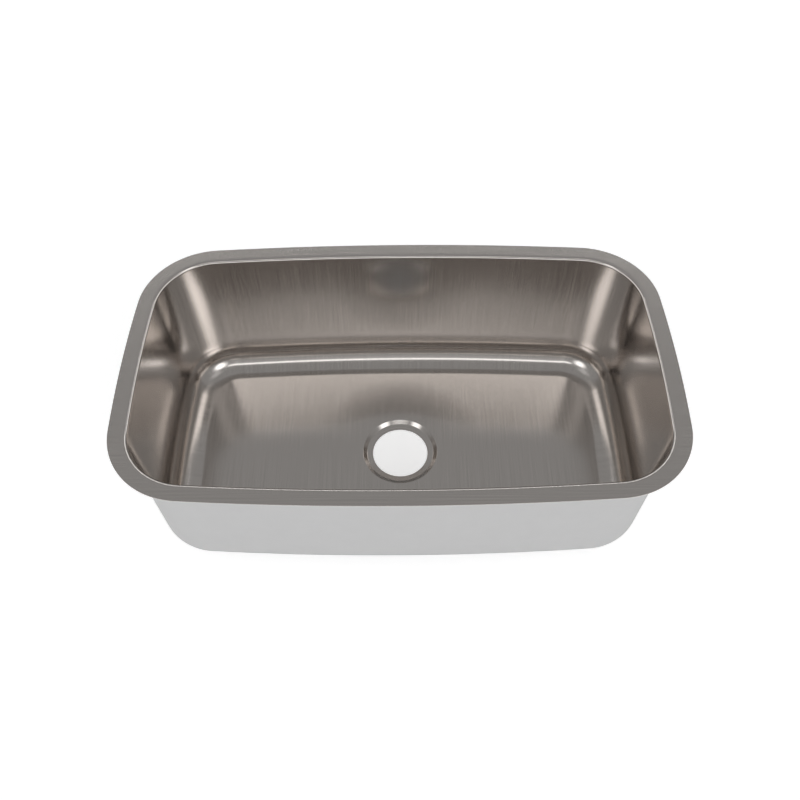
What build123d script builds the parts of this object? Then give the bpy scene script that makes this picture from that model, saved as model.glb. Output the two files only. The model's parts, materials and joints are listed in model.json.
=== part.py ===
from build123d import *
import os
from math import cos, radians, sqrt, tan

# Undermount single-bowl kitchen sink, drawn from one stainless steel sheet.
# Millimetres, +Z up. The origin is the centre of the flange's top face, the face that is sealed
# against the underside of a worktop. X runs along the sink and Y towards its back.

# Flange: a flat rim whose four sides bow gently outwards
rim_length = 800.0
rim_width = 467.0
long_side_bow_radius = 4570.0
short_side_bow_radius = 2040.0
rim_corner_radius = 115.0
flange_width = 26.0

# Bowl: the sheet, its drafted walls and its bends, each bend given by its radius on the hollow side
steel_gauge = 1.2
rolled_edge_bend = 3.8
wall_draft = 1.0
floor_depth = 246.0
bottom_bend = 45.0

# Drain: an open hole in a recess for the strainer, in a shallow dish that leads the water there
drain_hole_diameter = 92.0
ledge_width = 12.0
recess_depth = 6.7
recess_lip_bevel = 2.0
recess_root_bevel = 1.9
dish_diameter = 220.0
dish_drop = 2.2
dish_margin = 3.0

# Undercoat: the sprayed coat on the outside, bare below the flange and round the drain
coat_thickness = 1.8
coat_top_drop = 12.0
coat_bare_margin = 3.0

# Sound pads: two rubber pads bonded under the floor, one each side of the drain
pad_length = 182.0
pad_width = 250.0
pad_thickness = 3.0
pad_corner_radius = 18.0
pad_margin = 14.0

# The largest share of a corner or a wall that a bend on it takes up
corner_bend_share = 0.9
recess_bevel_share = 0.4

# Sizes that follow from those above
wall_lean = floor_depth * tan(radians(wall_draft))
floor_corner_radius = rim_corner_radius - flange_width - wall_lean
bottom_fillet = min(bottom_bend, corner_bend_share * floor_corner_radius)
recess_radius = drain_hole_diameter / 2 + ledge_width
lip_bevel = min(recess_lip_bevel, recess_bevel_share * (recess_depth - steel_gauge))
root_bevel = min(recess_root_bevel, recess_bevel_share * (recess_depth - steel_gauge))
bevel_growth = 2 - sqrt(2)
floor_half_width = rim_width / 2 - flange_width - wall_lean - bottom_fillet
dish_radius = min(dish_diameter / 2, floor_half_width - dish_margin)
ledge_depth = floor_depth + dish_drop + recess_depth
coat_bare_radius = dish_radius + coat_bare_margin
pad_offset = coat_bare_radius + pad_margin + pad_length / 2


def bowed_outline(inset):
    """A rounded rectangle with bowed sides, the given distance inside the rim's outer edge."""
    long_radius = long_side_bow_radius - inset
    short_radius = short_side_bow_radius - inset
    long_centre = rim_width / 2 - inset - long_radius
    short_centre = rim_length / 2 - inset - short_radius
    with BuildSketch() as outline:
        with Locations((0, long_centre)):
            Circle(long_radius)
        with Locations((0, -long_centre)):
            Circle(long_radius, mode=Mode.INTERSECT)
        with Locations((short_centre, 0)):
            Circle(short_radius, mode=Mode.INTERSECT)
        with Locations((-short_centre, 0)):
            Circle(short_radius, mode=Mode.INTERSECT)
        fillet(outline.vertices(), rim_corner_radius - inset)
    return outline.sketch


def drain_profile(grow):
    """Half the section of the dish and its recess, below a form grown by the given amount."""
    level = -floor_depth - grow
    wall = recess_radius + grow
    lip = level - dish_drop * (dish_radius - wall) / (dish_radius - recess_radius)
    bottom = -ledge_depth - grow
    top = level + bottom_fillet
    lip_size = lip_bevel + bevel_growth * (steel_gauge - grow)
    root_size = root_bevel + bevel_growth * grow
    with BuildSketch(Plane.XZ) as profile:
        with BuildLine():
            Polyline((0, top), (dish_radius, top), (dish_radius, level), (wall, lip), (wall, bottom))
            Polyline((wall, bottom), (0, bottom), (0, top))
        make_face()
        chamfer(profile.vertices().sort_by_distance((wall, lip))[0], lip_size)
        chamfer(profile.vertices().sort_by_distance((wall, bottom))[0], root_size)
    return profile.sketch


def bowl_form(grow, drained=False):
    """The bowl as a full block, whose skin lies the given distance outside the bowl's inner face."""
    mouth = bowed_outline(flange_width - grow / cos(radians(wall_draft)))
    with BuildPart() as form:
        extrude(mouth, amount=floor_depth + grow, dir=(0, 0, -1))
        draft(form.faces().filter_by(Axis.Z, reverse=True), Plane.XY, -wall_draft)
        fillet(form.faces().sort_by(Axis.Z)[0].edges(), bottom_fillet + grow)
        if drained:
            revolve(drain_profile(grow), axis=Axis.Z)
    return form.part


def pad_block(margin, grow):
    """Both pads as blocks, from inside the bowl down to a skin that follows the floor."""
    with BuildPart() as block:
        with BuildSketch(Plane.XY.offset(-floor_depth - grow)):
            with Locations((-pad_offset, 0), (pad_offset, 0)):
                RectangleRounded(
                    pad_length + 2 * margin, pad_width + 2 * margin, pad_corner_radius + margin
                )
        extrude(amount=grow + bottom_fillet)
        add(bowl_form(grow), mode=Mode.INTERSECT)
    return block.part


# Drawn steel bowl
with BuildPart() as bowl:
    extrude(bowed_outline(0), amount=steel_gauge, dir=(0, 0, -1))
    add(bowl_form(steel_gauge, drained=True))
    flange_underside = bowl.faces().filter_by(Axis.Z).sort_by(Axis.Z)[-2]
    fillet(flange_underside.inner_wires()[0].edges(), rolled_edge_bend)
    add(bowl_form(0, drained=True), mode=Mode.SUBTRACT)
    flange_top = bowl.faces().filter_by(Axis.Z).sort_by(Axis.Z)[-1]
    fillet(flange_top.inner_wires()[0].edges(), rolled_edge_bend + steel_gauge)
    with BuildSketch(Plane.XY.offset(-ledge_depth - steel_gauge)):
        Circle(drain_hole_diameter / 2)
    extrude(amount=ledge_depth, mode=Mode.SUBTRACT)
bowl.part.label = "bowl"

# Sound pads, bent to the underside of the floor
with BuildPart() as sound_pads:
    add(pad_block(0, steel_gauge + pad_thickness))
    add(bowl_form(steel_gauge), mode=Mode.SUBTRACT)
with BuildPart() as sound_pad_left:
    add(sound_pads.solids().sort_by(Axis.X)[0])
sound_pad_left.part.label = "sound_pad_left"
with BuildPart() as sound_pad_right:
    add(sound_pads.solids().sort_by(Axis.X)[-1])
sound_pad_right.part.label = "sound_pad_right"

# Undercoat, sprayed over the outside of the bowl and over the pads
with BuildPart() as undercoat:
    add(bowl_form(steel_gauge + coat_thickness))
    add(pad_block(coat_thickness, steel_gauge + pad_thickness + coat_thickness))
    add(bowl_form(steel_gauge), mode=Mode.SUBTRACT)
    add(sound_pads.part, mode=Mode.SUBTRACT)
    extrude(bowed_outline(0), amount=coat_top_drop, dir=(0, 0, -1), mode=Mode.SUBTRACT)
    with BuildSketch(Plane.XY.offset(-floor_depth)):
        Circle(coat_bare_radius)
    extrude(amount=bottom_fillet, both=True, mode=Mode.SUBTRACT)
undercoat.part.label = "undercoat"

os.makedirs("parts", exist_ok=True)
for piece in (bowl, sound_pad_left, sound_pad_right, undercoat):
    export_step(piece.part, f"parts/{piece.part.label}.step")
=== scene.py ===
import json
import math

import bpy
import numpy as np
from mathutils import Matrix, Vector


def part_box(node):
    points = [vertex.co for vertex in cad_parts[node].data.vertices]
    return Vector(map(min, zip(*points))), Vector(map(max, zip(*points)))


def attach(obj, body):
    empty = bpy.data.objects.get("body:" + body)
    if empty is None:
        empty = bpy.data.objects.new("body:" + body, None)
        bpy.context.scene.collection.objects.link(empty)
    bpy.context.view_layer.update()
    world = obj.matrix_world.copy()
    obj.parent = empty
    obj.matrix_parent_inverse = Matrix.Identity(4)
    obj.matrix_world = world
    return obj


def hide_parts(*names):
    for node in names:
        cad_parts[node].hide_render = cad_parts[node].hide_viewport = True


# Undermount kitchen sink in brushed stainless steel, seen from above the front on a white floor.
# Metres, +Z up. The origin is the centre of the flange's top face, as in the CAD part.

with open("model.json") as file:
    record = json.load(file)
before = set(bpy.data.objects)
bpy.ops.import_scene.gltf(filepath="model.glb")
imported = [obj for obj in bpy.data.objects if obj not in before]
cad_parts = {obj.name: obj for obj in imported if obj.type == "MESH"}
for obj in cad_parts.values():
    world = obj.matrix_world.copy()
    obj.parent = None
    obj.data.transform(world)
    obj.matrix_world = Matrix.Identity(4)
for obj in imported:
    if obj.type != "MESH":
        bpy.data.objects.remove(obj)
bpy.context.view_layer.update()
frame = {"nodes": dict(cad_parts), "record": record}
mounts = {m["name"]: m for m in frame["record"]["mounts"]}

MM = 0.001

# Sizes that the frame holds
rim_low, rim_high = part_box("bowl")
coat_low, coat_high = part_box("undercoat")
pad_low, pad_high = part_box("sound_pad_right")
half_length, half_width = rim_high.x, rim_high.y
floor_level = rim_low.z
gauge = -mounts["clip_ledge"]["pos_m"][2]
hole_radius = mounts["drain_opening"]["dims"]["r_mm"] * MM
ledge_level = mounts["strainer_seat"]["pos_m"][2]

# Sizes of the drawn sheet
long_side_bow_radius = 4570 * MM
short_side_bow_radius = 2040 * MM
rim_corner_radius = 115 * MM
flange_width = 26 * MM
rolled_edge_radius = 5 * MM
wall_draft = math.radians(1)
basin_depth = 246 * MM
bottom_radius = 45 * MM
recess_mouth_radius = 63 * MM
recess_wall_tilt = math.radians(53)
ledge_tilt = math.radians(80)
lip_radius = 2 * MM
root_radius = 2.5 * MM
dish_radius = 150 * MM
dish_drop = 2.2 * MM
cut_edge_radius = 0.4 * MM
cut_edge_turn = 75

# Sizes of the sprayed coat
coat_thickness = 1.8 * MM
coat_bite = 0.3 * MM
coat_bare_radius = 113 * MM
coat_edge_length = 5 * MM
pad_corner_radius = 20 * MM
pad_skirt = 7 * MM
pad_cover_bite = 0.06 * MM

# Points on each arc in a quarter of the outline
short_side_points = 9
corner_points = 33
long_side_points = 25

# Loops on each stretch of the section
flange_loops = 6
rolled_edge_loops = 16
wall_loops = 12
bottom_loops = 31
floor_loops = 10
dish_loops = 24
drain_bend_loops = 8
drain_wall_loops = 5
ledge_loops = 5
cut_edge_loops = 6
coat_edge_loops = 8
coat_end_loops = 12
pad_skirt_loops = 9
pad_corner_points = 10

# The tilt of a face is 0 where it stands upright and looks into the bowl
flat_tilt = math.pi / 2


# Outline

def arc_angles(start, end, count):
    """Angles from start to end in degrees, both included, given in radians."""
    return [math.radians(a) for a in np.linspace(start, end, count)]


def outline_columns():
    """Centre, radius and outward direction of each point round the rim's bowed outline."""
    long_centre = half_width - long_side_bow_radius
    short_centre = half_length - short_side_bow_radius
    long_reach = long_side_bow_radius - rim_corner_radius
    short_reach = short_side_bow_radius - rim_corner_radius
    # The corner's centre is where two circles round the sides' centres cross
    span = math.hypot(short_centre, long_centre)
    along = (short_reach**2 - long_reach**2 + span**2) / (2 * span)
    across = math.sqrt(short_reach**2 - along**2)
    unit = Vector((-short_centre, long_centre)) / span
    side = Vector((-unit.y, unit.x))
    corner = Vector((short_centre, 0)) + unit * along + side * across
    if corner.y < 0:
        corner = Vector((short_centre, 0)) + unit * along - side * across
    first = math.degrees(math.atan2(corner.y, corner.x - short_centre))
    last = math.degrees(math.atan2(corner.y - long_centre, corner.x))
    arcs = [
        ((short_centre, 0), short_side_bow_radius, arc_angles(0, first, short_side_points)[:-1]),
        (tuple(corner), rim_corner_radius, arc_angles(first, last, corner_points)[:-1]),
        ((0, long_centre), long_side_bow_radius, arc_angles(last, 90, long_side_points)[:-1]),
    ]
    quarter = [(c, r, (math.cos(a), math.sin(a))) for c, r, angles in arcs for a in angles]
    top = [((0, long_centre), long_side_bow_radius, (0.0, 1.0))]
    right = quarter + top
    left = [((-c[0], c[1]), r, (-d[0], d[1])) for c, r, d in reversed(quarter)]
    upper = right + left
    lower = [((c[0], -c[1]), r, (d[0], -d[1])) for c, r, d in reversed(upper[1:-1])]
    columns = upper + lower
    return (
        np.array([c for c, r, d in columns]),
        np.array([r for c, r, d in columns]),
        np.array([d for c, r, d in columns]),
    )


column_centre, column_radius, column_out = outline_columns()
column_count = len(column_radius)


def outline(inset):
    """The rim's outline, moved inwards by the inset."""
    return column_centre + column_out * (column_radius - inset)[:, None]


# Insets of the centres of the rolled edge and of the bottom radius
edge_inset = flange_width + rolled_edge_radius * math.tan(wall_draft)
edge_inset -= rolled_edge_radius / math.cos(wall_draft)
bottom_inset = flange_width + (basin_depth - bottom_radius) * math.tan(wall_draft)
bottom_inset += bottom_radius / math.cos(wall_draft)

# The edge of the flat floor, and the directions from the drain to it
floor_loop = outline(bottom_inset)
spoke = floor_loop / np.linalg.norm(floor_loop, axis=1)[:, None]


# Section of the sheet

class Ring:
    """One loop of the sheet: its place in the section and the tilt of the face there.

    The place is an inset from the rim, a share of the way over the floor or a radius at the drain.
    """

    def __init__(self, kind, place, level, tilt, brushed):
        self.kind = kind
        self.place = place
        self.level = level
        self.tilt = tilt
        self.brushed = brushed

    def moved(self, depth):
        """The loop on a face that lies the given depth behind this one, and looks the other way."""
        sign = {"rim": -1, "floor": 0, "drain": 1}[self.kind]
        place = self.place + sign * depth * math.cos(self.tilt)
        level = self.level - depth * math.sin(self.tilt)
        return Ring(self.kind, place, level, self.tilt + math.pi, self.brushed)

    def inward(self):
        return -column_out if self.kind == "rim" else -spoke

    def points(self):
        if self.kind == "rim":
            flat = outline(self.place)
        elif self.kind == "drain":
            flat = spoke * self.place
        else:
            flat = floor_loop * (1 - self.place) + spoke * dish_radius * self.place
        return np.column_stack([flat, np.full(column_count, self.level)])

    def normals(self):
        flat = self.inward() * math.cos(self.tilt)
        return np.column_stack([flat, np.full(column_count, math.sin(self.tilt))])

    def across_grain(self):
        """The direction on the face across the brushing."""
        if self.brushed == "round":
            flat = self.inward() * math.sin(self.tilt)
            return np.column_stack([flat, np.full(column_count, -math.cos(self.tilt))])
        if self.brushed == "down":
            return np.column_stack([column_out[:, 1], -column_out[:, 0], np.zeros(column_count)])
        across = {"along": (0.0, 1.0, 0.0), "back": (1.0, 0.0, 0.0)}[self.brushed]
        return np.tile(across, (column_count, 1))


def bend(kind, place, level, radius, angles, brushed, hollow):
    """Loops round a bend whose centre is at the place and level, hollow or bulging to the viewer."""
    side = -1 if hollow else 1
    turn = side if kind == "rim" else -side
    return [
        Ring(
            kind,
            place + turn * radius * math.cos(a),
            level + side * radius * math.sin(a),
            a,
            brushed,
        )
        for a in angles
    ]


def straight(start, place, level, tilt, count):
    """Loops of a straight run from a loop to a place and level, with both ends left out."""
    return [
        Ring(
            start.kind,
            start.place + (place - start.place) * w,
            start.level + (level - start.level) * w,
            tilt,
            start.brushed,
        )
        for w in np.linspace(0, 1, count)[1:-1]
    ]


def dish_level(radius):
    share = max(0.0, (dish_radius - radius) / (dish_radius - recess_mouth_radius))
    return -basin_depth - dish_drop * share**2


def dish_tilt(radius):
    reach = dish_radius - recess_mouth_radius
    slope = 2 * dish_drop * max(0.0, dish_radius - radius) / reach**2
    return flat_tilt - math.atan(slope)


def flange_rings():
    """Loops of the flange's top face, from its cut edge to its rolled edge."""
    return [
        Ring("rim", s, 0.0, flat_tilt, "along")
        for s in np.linspace(cut_edge_radius, edge_inset, flange_loops)[:-1]
    ]


def wall_rings():
    """Loops of the rolled edge, the wall and the bottom radius, from the flange to the floor."""
    draft = math.degrees(wall_draft)
    edge = bend(
        "rim", edge_inset, -rolled_edge_radius, rolled_edge_radius,
        arc_angles(90, draft, rolled_edge_loops), "down", hollow=False,
    )
    bottom = bend(
        "rim", bottom_inset, -(basin_depth - bottom_radius), bottom_radius,
        arc_angles(draft, 90, bottom_loops), "down", hollow=True,
    )
    wall = straight(edge[-1], bottom[0].place, bottom[0].level, wall_draft, wall_loops)
    return edge + wall + bottom


def flat_floor_rings():
    """Loops of the flat floor, from the bottom radius to the dish."""
    return [
        Ring("floor", w, -basin_depth, flat_tilt, "back")
        for w in np.linspace(0, 1, floor_loops)[1:-1]
    ]


def dish_rings():
    """Loops of the dish, from the flat floor to the drain's lip."""
    return [
        Ring("drain", r, dish_level(r), dish_tilt(r), "back")
        for r in np.linspace(dish_radius, recess_mouth_radius, dish_loops)
    ]


def drain_rings():
    """Loops of the drain's recess: its lip, a conical wall and a ledge that falls to the hole."""
    mouth_tilt = dish_tilt(recess_mouth_radius)
    wall_angle = math.degrees(recess_wall_tilt)
    ledge_angle = math.degrees(ledge_tilt)
    lip = bend(
        "drain", recess_mouth_radius + lip_radius * math.cos(mouth_tilt),
        dish_level(recess_mouth_radius) - lip_radius * math.sin(mouth_tilt), lip_radius,
        arc_angles(math.degrees(mouth_tilt), wall_angle, drain_bend_loops), "round", hollow=False,
    )
    # The wall is as long as it takes for the ledge to reach the hole's edge at its level
    fall = 1 / math.tan(ledge_tilt)
    root_run = root_radius * (math.cos(recess_wall_tilt) - math.cos(ledge_tilt))
    root_drop = root_radius * (math.sin(ledge_tilt) - math.sin(recess_wall_tilt))
    drop = lip[-1].level - root_drop - ledge_level
    drop -= (lip[-1].place - root_run - hole_radius) * fall
    length = drop / (math.cos(recess_wall_tilt) - math.sin(recess_wall_tilt) * fall)
    wall_end = lip[-1].place - length * math.sin(recess_wall_tilt)
    wall_low = lip[-1].level - length * math.cos(recess_wall_tilt)
    wall = straight(lip[-1], wall_end, wall_low, recess_wall_tilt, drain_wall_loops)
    root = bend(
        "drain", wall_end - root_radius * math.cos(recess_wall_tilt),
        wall_low + root_radius * math.sin(recess_wall_tilt), root_radius,
        arc_angles(wall_angle, ledge_angle, drain_bend_loops), "round", hollow=True,
    )
    ledge = [
        Ring("drain", r, ledge_level + (r - hole_radius) * fall, ledge_tilt, "round")
        for r in np.linspace(root[-1].place, hole_radius + cut_edge_radius, ledge_loops)[1:]
    ]
    return lip + wall + root + ledge


def hole_edge_rings():
    """Loops of the drain hole's cut edge, from the upper face to the underside."""
    place = hole_radius + cut_edge_radius
    upper = bend(
        "drain", place, ledge_level - cut_edge_radius, cut_edge_radius,
        arc_angles(cut_edge_turn, 0, cut_edge_loops), "round", hollow=False,
    )
    lower = bend(
        "drain", place, ledge_level - gauge + cut_edge_radius, cut_edge_radius,
        arc_angles(0, -cut_edge_turn, cut_edge_loops), "round", hollow=False,
    )
    return upper + lower


def rim_edge_rings():
    """Loops of the flange's cut edge, from the underside to the upper face."""
    lower = bend(
        "rim", cut_edge_radius, cut_edge_radius - gauge, cut_edge_radius,
        arc_angles(180 + cut_edge_turn, 180, cut_edge_loops), "along", hollow=False,
    )
    upper = bend(
        "rim", cut_edge_radius, -cut_edge_radius, cut_edge_radius,
        arc_angles(180, 180 - cut_edge_turn, cut_edge_loops), "along", hollow=False,
    )
    return lower + upper


def sheet_rings():
    """Every loop of the sheet's section, round its upper face, the hole's edge and its underside."""
    upper = flange_rings() + wall_rings() + flat_floor_rings() + dish_rings() + drain_rings()
    under = [ring.moved(gauge) for ring in reversed(upper)]
    return upper + hole_edge_rings() + under + rim_edge_rings()


# Meshes

def make_object(name, verts, faces):
    mesh = bpy.data.meshes.new(name)
    mesh.from_pydata([tuple(v) for v in verts], [], faces)
    mesh.update()
    obj = bpy.data.objects.new(name, mesh)
    bpy.context.scene.collection.objects.link(obj)
    return obj


def skin_faces(loop_count):
    """The faces of a closed skin over loops of points, as corners in the order of the loops."""
    faces = []
    for i in range(loop_count):
        here = i * column_count
        there = (i + 1) % loop_count * column_count
        for k in range(column_count):
            m = (k + 1) % column_count
            faces.append((here + k, here + m, there + m, there + k))
    return faces


def grain_coordinates(points, side, brushed):
    """Metres along and across the brushing, for streaks that follow it."""
    if brushed == "along":
        return points[:, [0, 1]]
    if brushed == "back":
        return points[:, [1, 0]]
    if brushed == "round":
        around = np.arctan2(points[:, 1], points[:, 0])
        outward = np.hypot(points[:, 0], points[:, 1])
        return np.column_stack([around * hole_radius, points[:, 2] + outward])
    return np.column_stack([points[:, 2], side])


def add_grain(mesh, verts, rings):
    """A UV map of the brushing, from each face's second loop."""
    mouth = outline(flange_width)
    steps = np.linalg.norm(np.roll(mouth, -1, axis=0) - mouth, axis=1)
    run = np.concatenate([[0.0], np.cumsum(steps)])
    grain = mesh.uv_layers.new(name="grain")
    for poly in mesh.polygons:
        i, k = divmod(poly.index, column_count)
        brushed = rings[(i + 1) % len(rings)].brushed
        corners = np.array([verts[v] for v in poly.vertices])
        side = np.array([run[k], run[k + 1], run[k + 1], run[k]])
        for loop, uv in zip(poly.loop_indices, grain_coordinates(corners, side, brushed)):
            grain.data[loop].uv = uv


def make_sheet(name, rings):
    """A closed skin over the loops, with exact normals and the directions of its brushing."""
    verts = np.vstack([ring.points() for ring in rings])
    obj = make_object(name, verts, skin_faces(len(rings)))
    mesh = obj.data
    across = mesh.attributes.new("across_grain", "FLOAT_VECTOR", "POINT")
    across.data.foreach_set("vector", np.vstack([r.across_grain() for r in rings]).ravel())
    add_grain(mesh, verts, rings)
    mesh.shade_smooth()
    normals = np.vstack([ring.normals() for ring in rings])
    mesh.normals_split_custom_set_from_vertices([tuple(n) for n in normals])
    return obj


# Drawn steel bowl
steel_bowl = make_sheet("steel_bowl", sheet_rings())
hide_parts("bowl")
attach(steel_bowl, "root")


def coat_path():
    """Loops of the steel that the coat covers, from below the flange to the bare ring."""
    below = [ring for ring in wall_rings() if ring.level < coat_high.z - coat_edge_length]
    start = below[0]
    lean = math.tan(wall_draft)
    shoulder = [
        Ring("rim", start.place - (level - start.level) * lean, level, wall_draft, "down")
        for level in np.linspace(coat_high.z, coat_high.z - coat_edge_length, coat_edge_loops)
    ]
    ends = [
        Ring("drain", r, -basin_depth, flat_tilt, "back")
        for r in np.linspace(dish_radius, coat_bare_radius, coat_end_loops)
    ]
    return shoulder + below + flat_floor_rings() + ends


def coat_rings():
    """Loops of the sprayed coat, down its outer face and back up inside the steel."""
    path = coat_path()
    lengths = [0.0]
    for a, b in zip(path, path[1:]):
        lengths.append(lengths[-1] + float(np.linalg.norm(a.points()[0] - b.points()[0])))
    outer = []
    for ring, run in zip(path, lengths):
        near = min(run, lengths[-1] - run) / coat_edge_length
        rise = math.sqrt(max(0.0, 1 - (1 - min(near, 1.0)) ** 2))
        outer.append(ring.moved(gauge + coat_thickness * rise))
    inner = [ring.moved(gauge - coat_bite) for ring in reversed(path)]
    return outer + inner


def rounded_rectangle(half_x, half_y, radius, steps):
    loop = []
    for quarter, (sx, sy) in enumerate(((1, 1), (-1, 1), (-1, -1), (1, -1))):
        for a in arc_angles(quarter * 90, quarter * 90 + 90, steps):
            x = sx * (half_x - radius) + radius * math.cos(a)
            y = sy * (half_y - radius) + radius * math.sin(a)
            loop.append((x, y))
    return loop


def add_pad_cover(verts, faces, centre_x):
    """The coat where it runs over a sound pad: a low plateau with a rounded skirt."""
    half_x = (pad_high.x - pad_low.x) / 2 + coat_thickness
    half_y = (pad_high.y - pad_low.y) / 2 + coat_thickness
    base = -basin_depth - gauge - coat_thickness
    rise = coat_low.z - base
    start = len(verts)
    count = 4 * pad_corner_points
    for w in np.linspace(0, 1, pad_skirt_loops):
        grow = pad_skirt * (0.5 - w)
        level = base + pad_cover_bite + rise * (3 * w**2 - 2 * w**3)
        radius = pad_corner_radius + grow
        loop = rounded_rectangle(half_x + grow, half_y + grow, radius, pad_corner_points)
        verts += [(centre_x + x, y, level) for x, y in loop]
    for i in range(pad_skirt_loops - 1):
        here = start + i * count
        there = here + count
        for k in range(count):
            m = (k + 1) % count
            faces.append((here + m, here + k, there + k, there + m))
    last = start + (pad_skirt_loops - 1) * count
    faces.append(tuple(last + k for k in reversed(range(count))))


def make_coat(name):
    rings = coat_rings()
    verts = [tuple(v) for v in np.vstack([ring.points() for ring in rings])]
    faces = [(b, a, d, c) for a, b, c, d in skin_faces(len(rings))]
    pad_centre = (pad_low.x + pad_high.x) / 2
    for centre_x in (-pad_centre, pad_centre):
        add_pad_cover(verts, faces, centre_x)
    obj = make_object(name, verts, faces)
    obj.data.shade_smooth()
    return obj


# Sprayed undercoat
sprayed_coat = make_coat("sprayed_coat")
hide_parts("undercoat")
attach(sprayed_coat, "root")


# Materials

# Most of a noise's values lie in this range
noise_low = 0.3
noise_high = 0.7

steel_dark = (0.570, 0.538, 0.512, 1)
steel_light = (0.640, 0.604, 0.575, 1)
steel_roughness = 0.17
steel_roughness_spread = 0.04
steel_stretch = 0.5
steel_bump = 0.03
steel_bump_depth = 0.2 * MM
# Streaks per metre along the brushing and across it
fine_grain = (10, 1400, 1)
broad_grain = (6, 700, 1)
grain_detail = 3.0

coat_dark = (0.635, 0.635, 0.637, 1)
coat_light = (0.665, 0.665, 0.667, 1)
coat_roughness = 0.9
coat_shine = 0.2
mottle_scale = 40.0
mottle_detail = 3.0
grit_scale = 900.0
grit_detail = 2.0
grit_bump = 0.2
grit_depth = 0.4 * MM

rubber_dark = (0.035, 0.035, 0.035, 1)
rubber_light = (0.06, 0.06, 0.06, 1)
rubber_roughness = 0.75
cell_scale = 300.0
cell_detail = 2.0


def new_material(name):
    material = bpy.data.materials.new(name)
    material.use_nodes = True
    nodes = material.node_tree.nodes
    links = material.node_tree.links
    nodes.clear()
    output = nodes.new("ShaderNodeOutputMaterial")
    shader = nodes.new("ShaderNodeBsdfPrincipled")
    links.new(shader.outputs["BSDF"], output.inputs["Surface"])
    return material, nodes, links, shader


def add_noise(nodes, links, vector, scale, detail):
    noise = nodes.new("ShaderNodeTexNoise")
    noise.inputs["Scale"].default_value = scale
    noise.inputs["Detail"].default_value = detail
    links.new(vector, noise.inputs["Vector"])
    return noise.outputs["Fac"]


def add_math(nodes, links, operation, *values):
    """A Math node on numbers and sockets."""
    node = nodes.new("ShaderNodeMath")
    node.operation = operation
    for socket, value in zip(node.inputs, values):
        if isinstance(value, (int, float)):
            socket.default_value = value
        else:
            links.new(value, socket)
    return node.outputs["Value"]


def add_streaks(nodes, links, scale):
    """Noise drawn out along the brushing."""
    grain = nodes.new("ShaderNodeUVMap")
    grain.uv_map = "grain"
    stretch = nodes.new("ShaderNodeMapping")
    stretch.inputs["Scale"].default_value = scale
    links.new(grain.outputs["UV"], stretch.inputs["Vector"])
    return add_noise(nodes, links, stretch.outputs["Vector"], 1.0, grain_detail)


def add_bump(nodes, links, shader, height, strength, distance):
    bump = nodes.new("ShaderNodeBump")
    bump.inputs["Strength"].default_value = strength
    bump.inputs["Distance"].default_value = distance
    links.new(height, bump.inputs["Height"])
    links.new(bump.outputs["Normal"], shader.inputs["Normal"])


def add_range(nodes, links, noise, low, high):
    """A noise spread from low to high."""
    spread = nodes.new("ShaderNodeMapRange")
    spread.inputs["From Min"].default_value = noise_low
    spread.inputs["From Max"].default_value = noise_high
    spread.inputs["To Min"].default_value = low
    spread.inputs["To Max"].default_value = high
    links.new(noise, spread.inputs["Value"])
    return spread.outputs["Result"]


def add_tint(nodes, links, shader, share, first, second):
    """A base colour that goes from the first colour to the second with the share."""
    tint = nodes.new("ShaderNodeMix")
    tint.data_type = "RGBA"
    tint.inputs["A"].default_value = first
    tint.inputs["B"].default_value = second
    links.new(share, tint.inputs["Factor"])
    links.new(tint.outputs["Result"], shader.inputs["Base Color"])


def brushed_steel():
    """Steel with fine and broad streaks along the brushing, and highlights drawn out across it."""
    material, nodes, links, shader = new_material("brushed_steel")
    shader.inputs["Metallic"].default_value = 1.0
    shader.inputs["Anisotropic"].default_value = steel_stretch
    across = nodes.new("ShaderNodeAttribute")
    across.attribute_name = "across_grain"
    links.new(across.outputs["Vector"], shader.inputs["Tangent"])
    fine = add_streaks(nodes, links, fine_grain)
    broad = add_streaks(nodes, links, broad_grain)
    add_tint(nodes, links, shader, add_range(nodes, links, broad, 0.0, 1.0), steel_dark, steel_light)
    low = steel_roughness - steel_roughness_spread
    high = steel_roughness + steel_roughness_spread
    links.new(add_range(nodes, links, fine, low, high), shader.inputs["Roughness"])
    add_bump(nodes, links, shader, fine, steel_bump, steel_bump_depth)
    return material


def sprayed_grey():
    """A flat grey coat, faintly mottled and gritty."""
    material, nodes, links, shader = new_material("sprayed_grey")
    shader.inputs["Roughness"].default_value = coat_roughness
    shader.inputs["Specular IOR Level"].default_value = coat_shine
    place = nodes.new("ShaderNodeTexCoord").outputs["Object"]
    mottle = add_noise(nodes, links, place, mottle_scale, mottle_detail)
    add_tint(nodes, links, shader, mottle, coat_dark, coat_light)
    grit = add_noise(nodes, links, place, grit_scale, grit_detail)
    add_bump(nodes, links, shader, grit, grit_bump, grit_depth)
    return material


def pad_rubber():
    """Black rubber with fine cells."""
    material, nodes, links, shader = new_material("pad_rubber")
    shader.inputs["Roughness"].default_value = rubber_roughness
    place = nodes.new("ShaderNodeTexCoord").outputs["Object"]
    cells = add_noise(nodes, links, place, cell_scale, cell_detail)
    add_tint(nodes, links, shader, cells, rubber_dark, rubber_light)
    return material


def paint(obj, material):
    obj.data.materials.clear()
    obj.data.materials.append(material)


paint(steel_bowl, brushed_steel())
paint(sprayed_coat, sprayed_grey())
rubber = pad_rubber()
for side in ("left", "right"):
    paint(frame["nodes"]["sound_pad_" + side], rubber)


# Floor

floor_size = 16
floor_colour = (0.9, 0.9, 0.9, 1)
# Painted shade: the darker colour the metal sees on the ground below the sink, in place of the
# sink's shadow
painted_shade_colour = (0.5, 0.5, 0.5, 1)
floor_roughness = 0.9
floor_fill = 0.52


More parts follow.
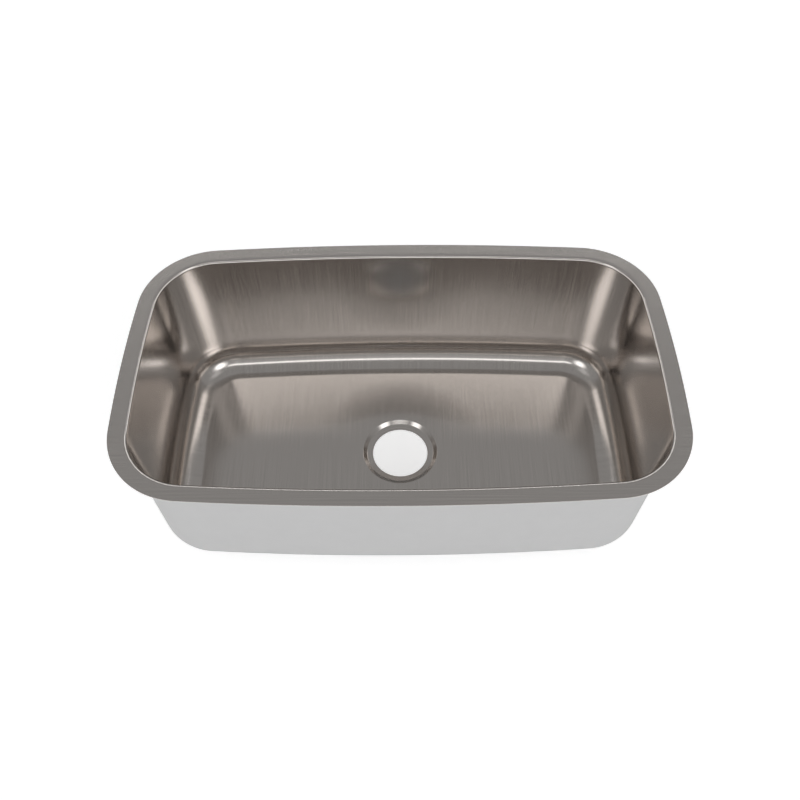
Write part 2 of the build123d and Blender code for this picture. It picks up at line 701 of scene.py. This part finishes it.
def white_floor():
    """A pale floor that shows shadows, filled up to white where the camera, metal or glass shows it.

    Where the metal sees the ground straight below the sink, shade is painted: the ground is given a
    darker colour and no fill, in place of the sink's own shadow.
    """
    material, nodes, links, shader = new_material("white_floor")
    shader.inputs["Roughness"].default_value = floor_roughness
    shader.inputs["Specular IOR Level"].default_value = 0.0
    shader.inputs["Emission Color"].default_value = (1, 1, 1, 1)
    ray = nodes.new("ShaderNodeLightPath").outputs
    place = nodes.new("ShaderNodeTexCoord").outputs["Object"]
    distance = nodes.new("ShaderNodeVectorMath")
    distance.operation = "LENGTH"
    links.new(place, distance.inputs[0])
    below = add_math(nodes, links, "LESS_THAN", distance.outputs["Value"], half_width)
    mirrored = add_math(nodes, links, "MAXIMUM", ray["Is Glossy Ray"], ray["Is Transmission Ray"])
    # Painted shade mask: glossy and transmission rays that land on the ground below the sink
    painted_shade_mask = add_math(nodes, links, "MULTIPLY", mirrored, below)
    add_tint(nodes, links, shader, painted_shade_mask, floor_colour, painted_shade_colour)
    open_ground = add_math(nodes, links, "SUBTRACT", mirrored, painted_shade_mask)
    seen = add_math(nodes, links, "MAXIMUM", ray["Is Camera Ray"], open_ground)
    fill = add_math(nodes, links, "MULTIPLY", seen, floor_fill)
    links.new(fill, shader.inputs["Emission Strength"])
    return material


bpy.ops.mesh.primitive_plane_add(size=floor_size, location=(0, 0, floor_level))
floor = bpy.context.object
floor.name = "floor"
paint(floor, white_floor())


# Light

light_edge = 4


class Studio:
    """A dim room round the sink, with soft lights painted on its walls.

    Directions are in degrees: azimuth 0 is the camera's side and 90 the right.
    """

    def __init__(self, level):
        world = bpy.data.worlds.new("studio")
        bpy.context.scene.world = world
        world.use_nodes = True
        self.nodes = world.node_tree.nodes
        self.links = world.node_tree.links
        self.direction = self.nodes.new("ShaderNodeTexCoord").outputs["Generated"]
        split = self.nodes.new("ShaderNodeSeparateXYZ")
        self.links.new(self.direction, split.inputs["Vector"])
        ahead = self.math("MULTIPLY", split.outputs["Y"], -1)
        self.azimuth = self.math("ARCTAN2", split.outputs["X"], ahead)
        self.elevation = self.math("ARCSINE", split.outputs["Z"])
        self.total = level

    def math(self, operation, *values):
        return add_math(self.nodes, self.links, operation, *values)

    def inside(self, value, low, high, edge=light_edge):
        """1 between two angles and 0 outside them, with soft edges."""
        mask = 1.0
        for limit, before, after in ((low, 0, 1), (high, 1, 0)):
            node = self.nodes.new("ShaderNodeMapRange")
            node.interpolation_type = "SMOOTHSTEP"
            node.inputs["From Min"].default_value = math.radians(limit - edge)
            node.inputs["From Max"].default_value = math.radians(limit + edge)
            node.inputs["To Min"].default_value = before
            node.inputs["To Max"].default_value = after
            self.links.new(value, node.inputs["Value"])
            mask = self.math("MULTIPLY", mask, node.outputs["Result"])
        return mask

    def round_light(self, azimuth, elevation, radius, level, edge=light_edge):
        side = math.radians(azimuth)
        up = math.radians(elevation)
        towards = self.nodes.new("ShaderNodeVectorMath")
        towards.operation = "DOT_PRODUCT"
        towards.inputs[1].default_value = (
            math.sin(side) * math.cos(up), -math.cos(side) * math.cos(up), math.sin(up)
        )
        self.links.new(self.direction, towards.inputs[0])
        away = self.math("ARCCOSINE", towards.outputs["Value"])
        mask = self.inside(away, -radius, radius, edge)
        self.total = self.math("MULTIPLY_ADD", mask, level, self.total)

    def band(self, azimuth, width, low, high, level, edge=light_edge):
        """A light between two elevations, whose upper and lower edges may be given."""
        turned = self.math("SUBTRACT", self.azimuth, math.radians(azimuth))
        turned = self.math("WRAP", turned, math.pi, -math.pi)
        across = self.inside(turned, -width / 2, width / 2)
        mask = self.math("MULTIPLY", across, self.inside(self.elevation, low, high, edge))
        self.total = self.math("MULTIPLY_ADD", mask, level, self.total)

    def finish(self):
        """The camera itself sees a plain white background."""
        ray = self.nodes.new("ShaderNodeLightPath")
        shown = self.nodes.new("ShaderNodeMix")
        shown.inputs["B"].default_value = 1.0
        self.links.new(ray.outputs["Is Camera Ray"], shown.inputs["Factor"])
        self.links.new(self.total, shown.inputs["A"])
        self.links.new(shown.outputs["Result"], self.nodes["Background"].inputs["Color"])


studio = Studio(level=0.33)
# A long lamp over the camera's side, and the glow below it
studio.band(azimuth=0, width=50, low=51, high=55.3, level=2.2, edge=2.5)
studio.round_light(azimuth=0, elevation=45, radius=8, level=0.22, edge=8)
# Two lamps to the right and the left of the camera, which show in the far corners
studio.round_light(azimuth=44, elevation=39, radius=11, level=2.2)
studio.round_light(azimuth=-46, elevation=40, radius=10, level=1.9)
# Low light from the camera's side and both ends, for the coat
studio.band(azimuth=0, width=260, low=-20, high=15, level=1.6)
# A strip behind the sink, which shows in the rolled edge
studio.band(azimuth=180, width=90, low=31, high=37, level=2.6, edge=1.5)
# Faint panels at both ends
studio.band(azimuth=72, width=30, low=48, high=64, level=0.3)
studio.band(azimuth=-72, width=30, low=48, high=64, level=0.3)
studio.finish()


# Camera

camera_place = Vector((3.93, -715.7, 931.0)) * MM
camera_pitch = math.radians(55.21)
camera_yaw = math.radians(-0.27)
camera_roll = math.radians(-0.65)
camera_lens = 36.7155
camera_sensor = 36


def add_camera():
    data = bpy.data.cameras.new("camera")
    data.sensor_width = camera_sensor
    data.lens = camera_lens
    camera = bpy.data.objects.new("camera", data)
    bpy.context.scene.collection.objects.link(camera)
    level = math.cos(camera_pitch)
    ahead = Vector((
        math.sin(camera_yaw) * level, math.cos(camera_yaw) * level, -math.sin(camera_pitch)
    ))
    right = Vector((math.cos(camera_yaw), -math.sin(camera_yaw), 0))
    up = right.cross(ahead)
    turned_right = right * math.cos(camera_roll) + up * math.sin(camera_roll)
    turned_up = up * math.cos(camera_roll) - right * math.sin(camera_roll)
    turn = Matrix((turned_right, turned_up, -ahead)).transposed()
    camera.matrix_world = Matrix.Translation(camera_place) @ turn.to_4x4()
    bpy.context.scene.camera = camera


add_camera()
bpy.context.scene.view_settings.view_transform = "Standard"
